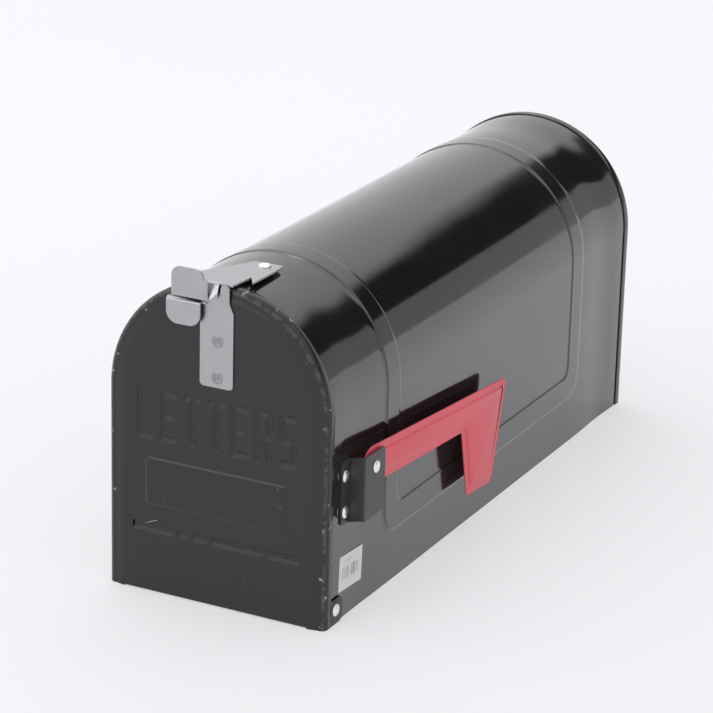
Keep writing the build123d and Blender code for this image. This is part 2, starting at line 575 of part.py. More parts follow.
# --- flag bracket ----------------------------------------------------------------------
bracket_out_x = ARCH_RADIUS + BRACKET_STANDOFF
with BuildPart() as flag_bracket:
    with BuildSketch(Plane.XY.offset(BRACKET_LOW_Z)):
        with Locations((ARCH_RADIUS, BRACKET_WEB_Y - BRACKET_FOOT)):
            Rectangle(BRACKET_SHEET, BRACKET_FOOT + BRACKET_SHEET, align=(Align.MIN, Align.MIN))
        with Locations((ARCH_RADIUS, BRACKET_WEB_Y)):
            Rectangle(BRACKET_STANDOFF, BRACKET_SHEET, align=(Align.MIN, Align.MIN))
        with Locations((bracket_out_x, BRACKET_WEB_Y)):
            Rectangle(BRACKET_SHEET, BRACKET_REACH, align=(Align.MAX, Align.MIN))
    extrude(amount=BRACKET_TOP_Z + BRACKET_CLIMB - BRACKET_LOW_Z)
    upright = edges().filter_by(Axis.Z)
    fillet(upright.sort_by_distance((ARCH_RADIUS, BRACKET_WEB_Y + BRACKET_SHEET,
                                     BRACKET_LOW_Z))[0], BRACKET_BEND)
    upright = edges().filter_by(Axis.Z)
    fillet(upright.sort_by_distance((bracket_out_x, BRACKET_WEB_Y, BRACKET_LOW_Z))[0],
           BRACKET_BEND)
    # foot, slanting web and plate as they stand when looked at from the door
    with BuildSketch(across(BRACKET_WEB_Y + BRACKET_REACH)):
        with BuildLine():
            out_low_z, out_top_z = BRACKET_LOW_Z + BRACKET_CLIMB, BRACKET_TOP_Z + BRACKET_CLIMB
            web_start_x = ARCH_RADIUS + BRACKET_SHEET
            Polyline((ARCH_RADIUS, BRACKET_LOW_Z), (web_start_x, BRACKET_LOW_Z),
                     (bracket_out_x - 2 * BRACKET_SHEET, out_low_z), (bracket_out_x, out_low_z),
                     (bracket_out_x, out_top_z), (bracket_out_x - 2 * BRACKET_SHEET, out_top_z),
                     (web_start_x, BRACKET_TOP_Z), (ARCH_RADIUS, BRACKET_TOP_Z), close=True)
        make_face()
    extrude(amount=BRACKET_REACH + BRACKET_FOOT, mode=Mode.INTERSECT)
    ends = edges().filter_by(Axis.X)
    fillet(ends.group_by(Axis.Y)[0] + ends.group_by(Axis.Y)[-1], BRACKET_CORNER)
    with BuildSketch(beside(ARCH_RADIUS)):
        with Locations(*((BRACKET_WEB_Y - BRACKET_FOOT / 2, z) for z in BRACKET_RIVET_Z),
                       (FLAG_PIVOT_Y, FLAG_PIVOT_Z)):
            Circle(RIVET_SHANK / 2)
    extrude(amount=BRACKET_STANDOFF, mode=Mode.SUBTRACT)
flag_bracket.part.label = "flag_bracket"
export_step(flag_bracket.part, "parts/flag_bracket.step")

bracket_pin = rivet(SHEET + BRACKET_SHEET)
with BuildPart() as bracket_rivets:
    with Locations(*(outward(1, BRACKET_WEB_Y - BRACKET_FOOT / 2, z)
                     for z in BRACKET_RIVET_Z)):
        add(bracket_pin)
bracket_rivets.part.label = "bracket_rivets"
export_step(bracket_rivets.part, "parts/bracket_rivets.step")

# --- flag --------------------------------------------------------------------------------
flag_front_x = bracket_out_x - BRACKET_SHEET - FLAG_SIDE_GAP
flag_back_x = flag_front_x - FLAG_DISH - FLAG_SHEET
with BuildSketch() as flag_outline:
    with BuildLine():
        Line((0, FLAG_HEEL), (FLAG_LENGTH - FLAG_CORNER, FLAG_HEEL))
        Line((FLAG_LENGTH - FLAG_CORNER, FLAG_HEEL), (FLAG_LENGTH, FLAG_HEEL - FLAG_CORNER))
        Line((FLAG_LENGTH, FLAG_HEEL - FLAG_CORNER), (FLAG_LENGTH, FLAG_HEEL - BLADE_TIP_DROP))
        Polyline((FLAG_LENGTH, FLAG_HEEL - BLADE_TIP_DROP),
                 (BLADE_LOW_BACK_U, FLAG_CORNER - BLADE_LOW),
                 (BLADE_LOW_BACK_U - 2 * FLAG_CORNER, -BLADE_LOW),
                 (BLADE_LOW_FRONT_U, -BLADE_LOW), (BLADE_ROOT_U, -FLAG_ARM_UNDER),
                 (0, -FLAG_HEEL))
        ThreePointArc((0, -FLAG_HEEL), (-FLAG_HEEL, 0), (0, FLAG_HEEL))
    make_face()
    fillet(vertices().group_by(Axis.X)[-1], FLAG_CORNER / 2)

with BuildPart() as flag:
    with BuildSketch(beside(flag_back_x)):
        with Locations(Location((FLAG_PIVOT_Y, FLAG_PIVOT_Z), -FLAG_DROOP)):
            add(flag_outline.sketch_local)
    border = extrude(amount=FLAG_SHEET)
    with BuildSketch(beside(flag_back_x + FLAG_SHEET)):
        with Locations(Location((FLAG_PIVOT_Y, FLAG_PIVOT_Z), -FLAG_DROOP)):
            add(offset(flag_outline.sketch_local, amount=-FLAG_BORDER, mode=Mode.PRIVATE))
    extrude(amount=FLAG_DISH)
    chamfer(faces().sort_by(Axis.X)[-1].edges(), FLAG_DISH * 0.8)
    with BuildSketch(beside(flag_back_x)):
        with Locations(Location((FLAG_PIVOT_Y, FLAG_PIVOT_Z), -FLAG_DROOP)):
            add(offset(flag_outline.sketch_local, amount=-FLAG_BORDER - FLAG_SHEET,
                       mode=Mode.PRIVATE))
    extrude(amount=FLAG_DISH, mode=Mode.SUBTRACT)
    with BuildSketch(beside(flag_back_x)):
        with Locations((FLAG_PIVOT_Y, FLAG_PIVOT_Z)):
            Circle(RIVET_SHANK / 2 + RUNNING_FIT)
    extrude(amount=FLAG_DISH + FLAG_SHEET, mode=Mode.SUBTRACT)
flag.part.label = "flag"
export_step(flag.part, "parts/flag.step")

flag_grip = BRACKET_SHEET + FLAG_SIDE_GAP + FLAG_SHEET + FLAG_DISH + HEAD_PLAY
flag_pin = rivet(flag_grip)
with BuildPart() as flag_rivet:
    with Locations(Plane(origin=(bracket_out_x - flag_grip, FLAG_PIVOT_Y, FLAG_PIVOT_Z),
                         x_dir=(0, 1, 0), z_dir=(1, 0, 0)).location):
        add(flag_pin)
flag_rivet.part.label = "flag_rivet"
export_step(flag_rivet.part, "parts/flag_rivet.step")

# --- price label -----------------------------------------------------------------------
with BuildPart() as price_label:
    with BuildSketch(beside(ARCH_RADIUS)):
        with Locations(Location((LABEL_Y, LABEL_Z), LABEL_TILT)):
            RectangleRounded(LABEL_LENGTH, LABEL_HEIGHT, LABEL_LENGTH / 30)
    extrude(amount=LABEL_THICK)
price_label.part.label = "price_label"
export_step(price_label.part, "parts/price_label.step")
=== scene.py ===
import math

import bmesh
import bpy
from mathutils import Matrix, Vector


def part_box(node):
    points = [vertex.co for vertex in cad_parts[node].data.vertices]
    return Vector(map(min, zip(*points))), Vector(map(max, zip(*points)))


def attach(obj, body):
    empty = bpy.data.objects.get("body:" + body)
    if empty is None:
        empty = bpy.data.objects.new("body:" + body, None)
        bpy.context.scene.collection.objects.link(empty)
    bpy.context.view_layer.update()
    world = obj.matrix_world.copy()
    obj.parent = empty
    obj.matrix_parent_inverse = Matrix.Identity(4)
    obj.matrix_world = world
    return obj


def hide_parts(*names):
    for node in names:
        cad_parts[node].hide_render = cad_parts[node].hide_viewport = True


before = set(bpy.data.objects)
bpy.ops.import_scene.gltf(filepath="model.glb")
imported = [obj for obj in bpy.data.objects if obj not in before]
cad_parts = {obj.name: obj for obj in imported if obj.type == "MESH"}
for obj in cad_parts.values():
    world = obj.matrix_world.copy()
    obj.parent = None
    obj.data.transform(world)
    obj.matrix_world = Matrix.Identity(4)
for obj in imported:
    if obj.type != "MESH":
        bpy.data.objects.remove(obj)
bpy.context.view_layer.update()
MM = 0.001

# --- studio ----------------------------------------------------------------------
# A pale floor that glows a little, a broad soft light overhead and a smaller one at the
# left, and a bright surround with a window at the front left and one dark wall behind.
mailbox_low, mailbox_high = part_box("body_shell")
scene = bpy.context.scene
scene.view_settings.view_transform = "Standard"


class Signal:
    """One node's output. Arithmetic on it adds Math nodes beside it."""

    def __init__(self, output):
        self.output = output

    def node(self, kind, settings=None, sockets=None, out=0):
        """Any other node, from its type, its settings and then its sockets' values or links."""
        made = self.output.id_data.nodes.new("ShaderNode" + kind)
        for name, value in (settings or {}).items():
            if name == "stops":
                ramp = made.color_ramp.elements
                while len(ramp) < len(value):
                    ramp.new(1.0)
                for element, (position, shade) in zip(ramp, value):
                    element.position, element.color = position, (*shade, 1.0)
            else:
                setattr(made, name, value)
        for name, value in (sockets or {}).items():
            if isinstance(value, Signal):
                self.output.id_data.links.new(value.output, made.inputs[name])
            else:
                made.inputs[name].default_value = value
        return Signal(made.outputs[out])

    def maths(self, operation, *others):
        """Math node that takes this signal first and then the others."""
        return self.node("Math", {"operation": operation}, dict(enumerate((self, *others))))

    def blend(self, first, second):
        """Colour that goes from first to second as this signal goes from 0 to 1."""
        colours = [(*c, 1.0) if isinstance(c, tuple) else c for c in (first, second)]
        return self.node("Mix", {"data_type": "RGBA"},
                         {0: self, 6: colours[0], 7: colours[1]}, out=2)

    def ramp(self, low, high, to_low=0.0, to_high=1.0):
        """Smooth step of this signal between two levels."""
        return self.node("MapRange", {"interpolation_type": "SMOOTHSTEP"},
                         {0: self, 1: low, 2: high, 3: to_low, 4: to_high})

    def __add__(self, other):
        return self.maths("ADD", other)

    def __sub__(self, other):
        return self.maths("SUBTRACT", other)

    def __rsub__(self, other):
        return self.node("Math", {"operation": "SUBTRACT"}, {0: other, 1: self})

    def __mul__(self, other):
        return self.maths("MULTIPLY", other)

    __radd__, __rmul__ = __add__, __mul__


WELD_DISTANCE = 0.004


def mesh_piece(name, points, faces, body, finish, replaced=(), sharp=40.0):
    """Smooth-shaded object from points in millimetres and faces, with its finish and its body."""
    mesh = bpy.data.meshes.new(name)
    mesh.from_pydata([Vector(p) * MM for p in points], [], faces)
    mesh.validate()
    joined = bmesh.new()
    joined.from_mesh(mesh)
    bmesh.ops.remove_doubles(joined, verts=joined.verts, dist=WELD_DISTANCE * MM)
    bmesh.ops.recalc_face_normals(joined, faces=joined.faces)
    joined.to_mesh(mesh)
    joined.free()
    piece = bpy.data.objects.new(name, mesh)
    scene.collection.objects.link(piece)
    for polygon in mesh.polygons:
        polygon.use_smooth = True
    mesh.set_sharp_from_angle(angle=math.radians(sharp))
    mesh.materials.append(finish)
    if body:
        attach(piece, body)
    if replaced:
        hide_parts(*replaced)
    return piece


def finish(name, **shader):
    """A new material: its Principled sockets get the fixed values, and its nodes start here."""
    made = bpy.data.materials.new(name)
    made.use_nodes = True
    principled = made.node_tree.nodes["Principled BSDF"]
    for socket, value in shader.items():
        principled.inputs[socket.replace("_", " ")].default_value = value
    return made, Signal(principled.outputs[0])


def feed(coat, **signals):
    """Links signals into the Principled shader that a finish started from."""
    for socket, signal in signals.items():
        coat.output.id_data.links.new(signal.output,
                                      coat.output.node.inputs[socket.replace("_", " ")])


FLOOR_REACH = 14.0
FLOOR_CELLS = 8
FLOOR_GAP = 0.3
sweep_finish, sweep_coat = finish("pale sweep", Roughness=0.9, Specular_IOR_Level=0.1,
                                  Emission_Strength=1.0, Emission_Color=(0.49, 0.487, 0.497, 1.0))
sweep_place = sweep_coat.node("TexCoord", out="Object")
sweep_cloud = sweep_coat.node("TexNoise", {}, {"Vector": sweep_place, "Scale": 1.3, "Detail": 2.0})
feed(sweep_coat, Base_Color=sweep_cloud.blend((0.40, 0.397, 0.408), (0.42, 0.417, 0.428)))
sweep_steps = [FLOOR_REACH * (2 * i / FLOOR_CELLS - 1) / MM for i in range(FLOOR_CELLS + 1)]
sweep_points = [(x, y, mailbox_low.z / MM - FLOOR_GAP) for y in sweep_steps for x in sweep_steps]
sweep_row = len(sweep_steps)
sweep_faces = [(sweep_row * r + c, sweep_row * r + c + 1,
                sweep_row * (r + 1) + c + 1, sweep_row * (r + 1) + c)
               for r in range(FLOOR_CELLS) for c in range(FLOOR_CELLS)]
sweep = mesh_piece("sweep", sweep_points, sweep_faces, None, sweep_finish)

WALL_BRIGHT, ROOM_GREY, WALL_DARK = (1.0, 1.0, 1.03), (0.50, 0.50, 0.51), (0.015, 0.015, 0.016)
WINDOW_BRIGHT = (2.6, 2.6, 2.66)
STUDIO_STRENGTH = 0.93
world = bpy.data.worlds.new("studio")
world.use_nodes = True
scene.world = world
sky = Signal(world.node_tree.nodes["Background"].outputs[0])
way = sky.node("TexCoord", out="Generated")
way_x, way_y, way_z = (sky.node("SeparateXYZ", {}, {0: way}, out=axis) for axis in "XYZ")
behind = way_x.ramp(-0.05, 0.08) * way_y.ramp(0.0, 0.3)
dark_wall = way_z.ramp(0.235, 0.26) * way_z.ramp(0.46, 0.52, 1.0, 0.0) * behind
low_room = way_z.ramp(0.0, 0.03) * way_z.ramp(0.235, 0.26, 1.0, 0.0) * behind
window = (way_z.ramp(0.10, 0.16) * way_z.ramp(0.46, 0.52, 1.0, 0.0)
          * way_y.ramp(-0.70, -0.62, 1.0, 0.0)
          * way_x.ramp(-0.68, -0.60) * way_x.ramp(-0.24, -0.16, 1.0, 0.0))
walls = window.blend(WALL_BRIGHT, WINDOW_BRIGHT)
feed(sky, Color=dark_wall.blend(low_room.blend(walls, ROOM_GREY), WALL_DARK))
sky.output.node.inputs["Strength"].default_value = STUDIO_STRENGTH


def softbox(name, place, aim, width, height, power):
    """A soft rectangular light at a place, facing a point; both in metres."""
    lamp = bpy.data.lights.new(name, "AREA")
    lamp.shape, lamp.size, lamp.size_y, lamp.energy = "RECTANGLE", width, height, power
    holder = bpy.data.objects.new(name, lamp)
    holder.matrix_world = (Matrix.Translation(place)
                           @ (Vector(aim) - Vector(place)).to_track_quat("-Z", "Y").to_matrix().to_4x4())
    scene.collection.objects.link(holder)


softbox("overhead", (-0.9, 0.7, 2.1), (0.0, 0.0, 0.1), 2.2, 2.2, 11)
softbox("left wall", (-2.4, -0.6, 1.2), (0.0, -0.1, 0.1), 1.8, 1.6, 4)

AZIMUTH, ELEVATION, ROLL = (math.radians(a) for a in (26.873, 19.796, 1.473))
DISTANCE, ASIDE, ABOVE = 2.27113, -0.02333, 0.09446
SENSOR, FOCAL_LENGTH = 36.0, 153.71
back = Vector((math.sin(AZIMUTH) * math.cos(ELEVATION),
               -math.cos(AZIMUTH) * math.cos(ELEVATION), math.sin(ELEVATION)))
level = Vector((math.cos(AZIMUTH), math.sin(AZIMUTH), 0.0))
upward = back.cross(level)
across_view = level * math.cos(ROLL) + upward * math.sin(ROLL)
up_view = upward * math.cos(ROLL) - level * math.sin(ROLL)
lens = bpy.data.cameras.new("camera")
lens.sensor_width, lens.lens = SENSOR, FOCAL_LENGTH
camera = bpy.data.objects.new("camera", lens)
stand = back * DISTANCE + level * ASIDE + upward * ABOVE
stand.z += mailbox_low.z
camera.matrix_world = Matrix((across_view, up_view, back)).transposed().to_4x4()
camera.matrix_world.translation = stand
scene.collection.objects.link(camera)
scene.camera = camera

# --- body shell ---------------------------------------------------------------------
# One galvanised steel sheet rolled into an arch, with a stiffening band pressed into
# it. Gloss black enamel, baked on, with faint ripple, dust and a few tiny chips.
ARCH_RADIUS = 82.5
FOOT_Z = mailbox_low.z / MM
ARCH_Z = FOOT_Z + 145.0
BODY_FRONT_Y, BODY_BACK_Y = mailbox_low.y / MM, mailbox_high.y / MM
DOOR_FACE_Y = -253.5
SHELL_SHEET = 0.9
BAND = dict(front=-168.0, back=163.0, low=36.5, width=20.0, corner=24.0, inner_corner=8.0)
BAND_RAISE, BAND_SLOPE = 0.8, 1.7
BACK_DRAW, BACK_DRAW_Y, BACK_DRAW_REACH = 0.8, 207.0, 24.0
FRONT_DRAW, FRONT_DRAW_Y, FRONT_DRAW_REACH = 0.3, -205.0, 20.0
WAVE = 0.09
HINGE_Y, HINGE_Z = DOOR_FACE_Y + 14.5, FOOT_Z + 10.8
CORNER_SWING = 11.4


def enamel(name, shade, gloss, ripple=0.012, speck=0.5, index=1.75, lacquer=0.35, wear_and_highlight=None):
    """Baked enamel: slight orange peel, uneven gloss and dust, and any marks laid over it: wear, and on
    the door also a painted highlight line along the rolled edge.
    """
    made, coat = finish(name, IOR=index, Coat_Weight=lacquer, Coat_Roughness=0.06)
    place = coat.node("TexCoord", out="Object")
    peel = coat.node("TexNoise", {}, {"Vector": place, "Scale": 420.0, "Detail": 2.0})
    runs = coat.node("TexNoise", {}, {"Vector": place, "Scale": 26.0, "Detail": 3.0})
    cloud = coat.node("TexNoise", {}, {"Vector": place, "Scale": 9.0, "Detail": 5.0,
                                       "Roughness": 0.62})
    dust = coat.node("TexVoronoi", {}, {"Vector": place, "Scale": 260.0})
    rare = coat.node("TexNoise", {}, {"Vector": place, "Scale": 31.0, "Detail": 1.0})
    fleck_and_highlight = dust.ramp(0.05, 0.13, 1.0, 0.0) * rare.ramp(0.62, 0.70) * speck
    # wear goes on like the dust specks; on the door it also carries a painted highlight line along the
    # rolled edge
    if wear_and_highlight:
        fleck_and_highlight = fleck_and_highlight.maths("MAXIMUM", wear_and_highlight(place))
    pale = tuple(c + (0.5 - c) * 0.55 for c in shade)
    deep = tuple(c * 0.8 for c in shade)
    feed(coat,
         Base_Color=fleck_and_highlight.blend(cloud.ramp(0.3, 0.7).blend(deep, shade), pale),
         Roughness=cloud.ramp(0.35, 0.72, gloss - 0.03, gloss + 0.06) + fleck_and_highlight * 0.3,
         Normal=coat.node("Bump", {}, {"Strength": 0.35, "Distance": ripple * MM,
                                       "Height": peel + runs * 4.0}))
    return made


shell_enamel = enamel("shell enamel", (0.012, 0.012, 0.013), 0.09)


def edge_steps(position, width, count=6):
    """Levels across a pressed edge, closely spaced."""
    return [position + width * i / count for i in range(count + 1)]


def fill_between(levels, gap):
    """Adds levels so that no two neighbours are further apart than the gap."""
    levels = sorted(set(round(v, 4) for v in levels))
    full = []
    for low, high in zip(levels, levels[1:]):
        count = max(1, math.ceil((high - low) / gap))
        full += [low + (high - low) * i / count for i in range(count)]
    return full + [levels[-1]]


side_run = ARCH_Z - FOOT_Z
half_arch = math.pi * ARCH_RADIUS / 2
half_girth = side_run + half_arch
low_edge = BAND["low"] - half_girth
inner_low = low_edge + BAND["width"]
inner_front, inner_back = BAND["front"] + BAND["width"], BAND["back"] - BAND["width"]
# along the sheet from one foot to the crown, which is 0, and then mirrored
half_levels = [-half_girth, low_edge, *edge_steps(low_edge, BAND_SLOPE),
               *edge_steps(inner_low - BAND_SLOPE, BAND_SLOPE), inner_low + 30, -half_arch, 0.0]
half_levels += [low_edge + v for v in range(2, 44, 2)]
girth = fill_between(half_levels, 3.2)
girth += [-v for v in reversed(girth[:-1])]
lengths = [BODY_FRONT_Y, BODY_BACK_Y,
           *edge_steps(BAND["front"], BAND_SLOPE),
           *edge_steps(inner_front - BAND_SLOPE, BAND_SLOPE),
           *edge_steps(BAND["back"] - BAND_SLOPE, BAND_SLOPE), *edge_steps(inner_back, BAND_SLOPE)]
lengths += [BAND["front"] + v for v in range(2, 44, 2)] + [BAND["back"] - v for v in range(2, 44, 2)]
lengths += [BODY_FRONT_Y + v for v in range(2, 14, 2)]
lengths = fill_between(lengths, 5.0)


def rounded(s, y, corner_s, corner_y, toward_s, toward_y, radius, fade):
    """Turns square rings about a corner's centre into round ones, fading further out."""
    u, v = (s - corner_s) * toward_s, (y - corner_y) * toward_y
    if u <= 0 or v <= 0:
        return s, y
    ring, true = max(u, v), math.hypot(u, v)
    share = min(1.0, max(0.0, (fade - ring) / (fade - radius)))
    scale = 1 + share * (ring / true - 1)
    return corner_s + u * scale * toward_s, corner_y + v * scale * toward_y


def smooth(t):
    """Eased step, 0 below 0 and 1 above 1."""
    t = min(1.0, max(0.0, t))
    return t * t * (3 - 2 * t)


def rise(s, y):
    """Height of the pressed band at a point of the square layout, 0 to 1."""
    outside = min(s - low_edge, -low_edge - s, y - BAND["front"], BAND["back"] - y)
    inside = min(s - inner_low, -inner_low - s, y - inner_front, inner_back - y)
    return smooth(outside / BAND_SLOPE) * (1 - smooth(inside / BAND_SLOPE + 1))


def sag(s, y):
    """Shallow waves of the rolled sheet, drawn in before the back seam and the door."""
    drawn = (BACK_DRAW * math.exp(-((y - BACK_DRAW_Y) / BACK_DRAW_REACH) ** 2)
             + FRONT_DRAW * math.exp(-((y - FRONT_DRAW_Y) / FRONT_DRAW_REACH) ** 2))
    wave = math.sin(y / 31.0 + s / 47.0) * math.sin(s / 29.0 - y / 83.0)
    edge = min(1.0, (BODY_BACK_Y - 9.0 - y) / 20.0, (y - BODY_FRONT_Y - 9.0) / 20.0)
    return -max(0.0, edge) * (drawn + WAVE * wave)


def rolled(s, y, out):
    """Point of the flat sheet once it is rolled over the arch."""
    radius = ARCH_RADIUS + out
    if abs(s) <= half_arch:
        turn = s / ARCH_RADIUS
        return radius * math.sin(turn), y, ARCH_Z + radius * math.cos(turn)
    return math.copysign(radius, s), y, ARCH_Z + half_arch - abs(s)


def shell_point(s, y, depth):
    """Point of the finished shell, depth being 0 outside and the sheet's thickness inside."""
    lift = BAND_RAISE * rise(s, y) - depth + sag(s, y)
    for end_s in (-1, 1):
        for end_y, inner in ((-1, inner_front), (1, inner_back)):
            s, y = rounded(s, y, -end_s * (inner_low + BAND["inner_corner"]),
                           inner - end_y * BAND["inner_corner"], end_s, end_y,
                           BAND["inner_corner"], 2 * BAND["inner_corner"])
            s, y = rounded(s, y, -end_s * inner_low, inner, end_s, end_y,
                           BAND["corner"], 2 * BAND["corner"])
    # front foot corners are cut round about the hinge
    z = ARCH_Z + half_arch - abs(s)
    reach = math.hypot(y - HINGE_Y, z - HINGE_Z)
    if z < HINGE_Z and y < HINGE_Y and reach > CORNER_SWING:
        y = HINGE_Y + (y - HINGE_Y) * CORNER_SWING / reach
        s = math.copysign(abs(s) - (HINGE_Z - z) * (1 - CORNER_SWING / reach), s)
    return rolled(s, y, lift)


shell_points, rows, columns = [], len(lengths), len(girth)
for depth in (0.0, SHELL_SHEET):
    shell_points += [shell_point(s, y, depth) for y in lengths for s in girth]
shell_faces = []
for layer in (0, rows * columns):
    for r in range(rows - 1):
        for c in range(columns - 1):
            quad = [layer + r * columns + c, layer + r * columns + c + 1,
                    layer + (r + 1) * columns + c + 1, layer + (r + 1) * columns + c]
            shell_faces.append(quad if layer else quad[::-1])
rim = [r * columns for r in range(rows - 1)]
rim += [(rows - 1) * columns + c for c in range(columns - 1)]
rim += [r * columns + columns - 1 for r in range(rows - 1, 0, -1)]
rim += list(range(columns - 1, 0, -1))
layer = rows * columns
shell_faces += [(a, b, b + layer, a + layer) for a, b in zip(rim, rim[1:] + rim[:1])]
shell = mesh_piece("shell", shell_points, shell_faces, "box", shell_enamel, ["body_shell"])

# --- back panel -----------------------------------------------------------------------
# Flat steel end, its edge turned forward over the end of the shell and crimped, with
# a shallow pressed ring inside the seam. Same black enamel.
BACK_SHEET, BACK_BEND, BACK_LAP = 0.9, 2.2, 8.8
BACK_RING_INSET, BACK_RING_WIDTH, BACK_RING_DEPTH = 14.0, 3.0, 0.8
SEAM_GAP = 0.02
BACK_FACE_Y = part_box("back_panel")[1].y / MM


def arch_stations(levels, arc_steps=72):
    """Places round the arch, as (outward x, outward z, centre z), from one foot to the other."""
    half_turns = [math.pi * i / arc_steps for i in range(arc_steps + 1)]
    return ([(-1.0, 0.0, z) for z in levels]
            + [(-math.cos(t), math.sin(t), ARCH_Z) for t in half_turns]
            + [(1.0, 0.0, z) for z in reversed(levels)])


def over_arch(profile, stations):
    """Points and faces of a profile of (radius, y) carried round the arch."""
    points = [(out_x * r, y, z + out_z * r) for out_x, out_z, z in stations for r, y in profile]
    count = len(profile)
    faces = [(s * count + p, s * count + p + 1, (s + 1) * count + p + 1, (s + 1) * count + p)
             for s in range(len(stations) - 1) for p in range(count - 1)]
    faces.append(tuple(range(count)))
    faces.append(tuple(range((len(stations) - 1) * count, len(stations) * count)))
    return points, faces


def quarter(centre_r, centre_y, radius, steps=7):
    """Quarter turn of a profile, from facing outwards to facing +Y."""
    return [(centre_r + radius * math.cos(t), centre_y + radius * math.sin(t))
            for t in (math.pi / 2 * i / steps for i in range(steps + 1))]


def legs(low_z, *extra):
    """Levels up a straight side, from its foot to just below the arch."""
    return [low_z, *extra, *(low_z + (ARCH_Z - low_z) * i / 12 for i in range(1, 12))]


back_outside = ARCH_RADIUS + BACK_SHEET
crimp = BACK_FACE_Y - BACK_LAP
ring_out = ARCH_RADIUS - BACK_RING_INSET
ring_steps = [(ring_out - BACK_RING_WIDTH * i / 6, BACK_RING_DEPTH * (1 - math.cos(math.pi * i / 6)) / 2)
              for i in range(7)]
back_profile = [(ring_out - BACK_RING_WIDTH, BACK_FACE_Y - BACK_SHEET - BACK_RING_DEPTH)]
back_profile += [(r, BACK_FACE_Y - BACK_SHEET - d) for r, d in reversed(ring_steps[:-1])]
back_profile += [(r, BACK_FACE_Y - BACK_SHEET - BACK_BEND + y) for r, y in
                 reversed(quarter(ARCH_RADIUS - BACK_BEND + SEAM_GAP, 0.0, BACK_BEND))]
back_profile += [(ARCH_RADIUS + SEAM_GAP, crimp + 0.3), (ARCH_RADIUS + 0.2, crimp),
                 (back_outside - 0.2, crimp), (back_outside, crimp + 0.3)]
back_profile += [(back_outside, BACK_FACE_Y - BACK_BEND - BACK_SHEET)]
back_profile += quarter(back_outside - BACK_BEND - BACK_SHEET, BACK_FACE_Y - BACK_BEND - BACK_SHEET,
                        BACK_BEND + BACK_SHEET)[1:]
back_profile += [(r, BACK_FACE_Y - d) for r, d in ring_steps]
back_stations = arch_stations(legs(FOOT_Z))
back_points, back_faces = over_arch(back_profile, back_stations)
count = len(back_profile)
for edge in (0, count - 1):
    back_faces.append(tuple(s * count + edge for s in range(len(back_stations))))
back_piece = mesh_piece("back_end", back_points, back_faces, "box", shell_enamel, ["back_panel"])

# --- floor ----------------------------------------------------------------------------
# Folded steel tray between the sides, with four holes for the mounting board. It keeps
# its CAD shape and takes the enamel.
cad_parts["floor_panel"].data.materials[0] = shell_enamel

# --- door -------------------------------------------------------------------------------
# Pressed steel door: edge rolled back over the shell, a flat rim, a sloped shoulder up to
# the middle, a sunk word and dashes and a raised plain plate. Satin black enamel.
DOOR_RADIUS, DOOR_SHEET, DOOR_LAP, DOOR_BEND = 83.8, 0.8, 8.6, 4.5
SLOPE_OUT, SLOPE_IN, SLOPE_EASE, DOOR_RAISE = 6.3, 13.2, 1.7, 1.2
FIELD_HALF, FIELD_LOW, FIELD_HIGH, FIELD_GAP = 64.0, FOOT_Z + 42.0, FOOT_Z + 152.0, 1.1
DOOR_BOTTOM_Z = FOOT_Z + 0.8
FIELD_Y = DOOR_FACE_Y - DOOR_RAISE
LIP_HALF, LIP_DEPTH = 68.0, 6.0
EAR_BACK_Y, EAR_TOP_Z, EAR_CORNER = DOOR_FACE_Y + 25.2, FOOT_Z + 18.5, 5.0
WORD, WORD_LOW_Z = "LETTERS", FOOT_Z + 112.5
WORD_HEIGHT, WORD_WIDTH, LETTER_GAP = 36.0, 121.0, 5.0
STROKE, SUNK, RAISED, WALL = 3.8, 1.15, 0.7, 1.2
PLATE = dict(half=54.0, low=FOOT_Z + 64.3, high=FOOT_Z + 98.8, corner=2.5)
DASH_Z, DASH_HEIGHT, DASHES, DASH_GAP = FOOT_Z + 47.5, 5.0, (34.0, 9.0, 12.0, 40.0, 27.0), 2.4
SCRATCH_X, SCRATCH_Z, SCRATCH_SLOPE = -50.0, FOOT_Z + 51.5, 0.42
# letters on a grid 2 wide and 4 high: bars and posts given by their two ends
LETTERS = {
    "L": (((0, 0), (0, 4)), ((0, 0), (2, 0))),
    "E": (((0, 0), (0, 4)), ((0, 0), (2, 0)), ((0, 2), (1.7, 2)), ((0, 4), (2, 4))),
    "T": (((1, 0), (1, 4)), ((0, 4), (2, 4))),
    "R": (((0, 0), (0, 4)), ((0, 4), (2, 4)), ((2, 2), (2, 4)), ((0, 2), (2, 2)), ((0.7, 2), (2, 0))),
    "S": (((0, 0), (2, 0)), ((2, 0), (2, 2)), ((0, 2), (2, 2)), ((0, 2), (0, 4)), ((0, 4), (2, 4))),
}
strokes = []
pitch = (WORD_WIDTH + LETTER_GAP) / len(WORD)
grid_x, grid_z = (pitch - LETTER_GAP - STROKE) / 2, (WORD_HEIGHT - STROKE) / 4
for place, letter in enumerate(WORD):
    left, low = (STROKE - WORD_WIDTH) / 2 + place * pitch, WORD_LOW_Z + STROKE / 2
    strokes += [tuple((left + x * grid_x, low + z * grid_z) for x, z in ends) + (STROKE / 2,)
                for ends in LETTERS[letter]]
dash_x = -(sum(DASHES) + DASH_GAP * (len(DASHES) - 1)) / 2
for length in DASHES:
    strokes.append(((dash_x + DASH_HEIGHT / 2, DASH_Z),
                    (dash_x + length - DASH_HEIGHT / 2, DASH_Z), DASH_HEIGHT / 2))
    dash_x += length + DASH_GAP


